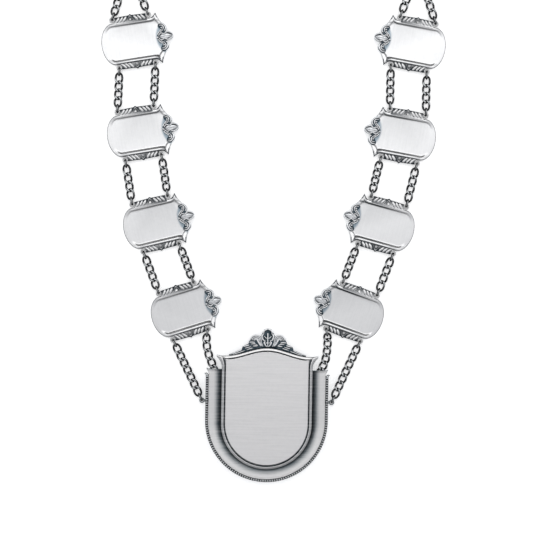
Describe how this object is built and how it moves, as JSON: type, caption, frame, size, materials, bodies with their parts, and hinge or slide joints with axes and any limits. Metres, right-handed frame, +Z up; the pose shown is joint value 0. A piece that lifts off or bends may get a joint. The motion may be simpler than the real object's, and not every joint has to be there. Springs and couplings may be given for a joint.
{
  "type": "shooting guild chain",
  "caption": "Silver coloured shooting guild chain laid flat: eight blank small shields, a beaded pendant with a blank front shield, curb chain and a plain clasp ring.",
  "frame": {"origin": "bottom centre of the chain's box, on the surface that it lies on", "axes": "+Z up off the surface, +Y from the pendant to the clasp ring at the nape, +X to the right seen from above"},
  "size_m": [0.2417, 0.4452, 0.0104],
  "materials": {
    "brushed_silver": "fine brushed antique silver",
    "cast_silver": "cast ornament, dark in the recesses and bright on the relief",
    "chain_silver": "oxidised dark silver, rubbed bright on the outside"
  },
  "bodies": {
    "root": {"clasp_ring": "chain_silver", "crest_left_1": "cast_silver", "crest_left_2": "cast_silver", "crest_left_3": "cast_silver", "crest_left_4": "cast_silver", "crest_right_1": "cast_silver", "crest_right_2": "cast_silver", "crest_right_3": "cast_silver", "crest_right_4": "cast_silver", "joining_ring_left": "chain_silver", "joining_ring_right": "chain_silver", "neck_chain_left": "chain_silver", "neck_chain_right": "chain_silver", "pendant_bead_wire": "chain_silver", "pendant_crest": "cast_silver", "pendant_dish": "brushed_silver", "pendant_shield": "brushed_silver", "shield_left_1": "brushed_silver", "shield_left_2": "brushed_silver", "shield_left_3": "brushed_silver", "shield_left_4": "brushed_silver", "shield_right_1": "brushed_silver", "shield_right_2": "brushed_silver", "shield_right_3": "brushed_silver", "shield_right_4": "brushed_silver", "strand_left_0_inner": "chain_silver", "strand_left_0_outer": "chain_silver", "strand_left_1_inner": "chain_silver", "strand_left_1_outer": "chain_silver", "strand_left_2_inner": "chain_silver", "strand_left_2_outer": "chain_silver", "strand_left_3_inner": "chain_silver", "strand_left_3_outer": "chain_silver", "strand_left_4_inner": "chain_silver", "strand_left_4_outer": "chain_silver", "strand_right_0_inner": "chain_silver", "strand_right_0_outer": "chain_silver", "strand_right_1_inner": "chain_silver", "strand_right_1_outer": "chain_silver", "strand_right_2_inner": "chain_silver", "strand_right_2_outer": "chain_silver", "strand_right_3_inner": "chain_silver", "strand_right_3_outer": "chain_silver", "strand_right_4_inner": "chain_silver", "strand_right_4_outer": "chain_silver"}
  },
  "joints": []
}
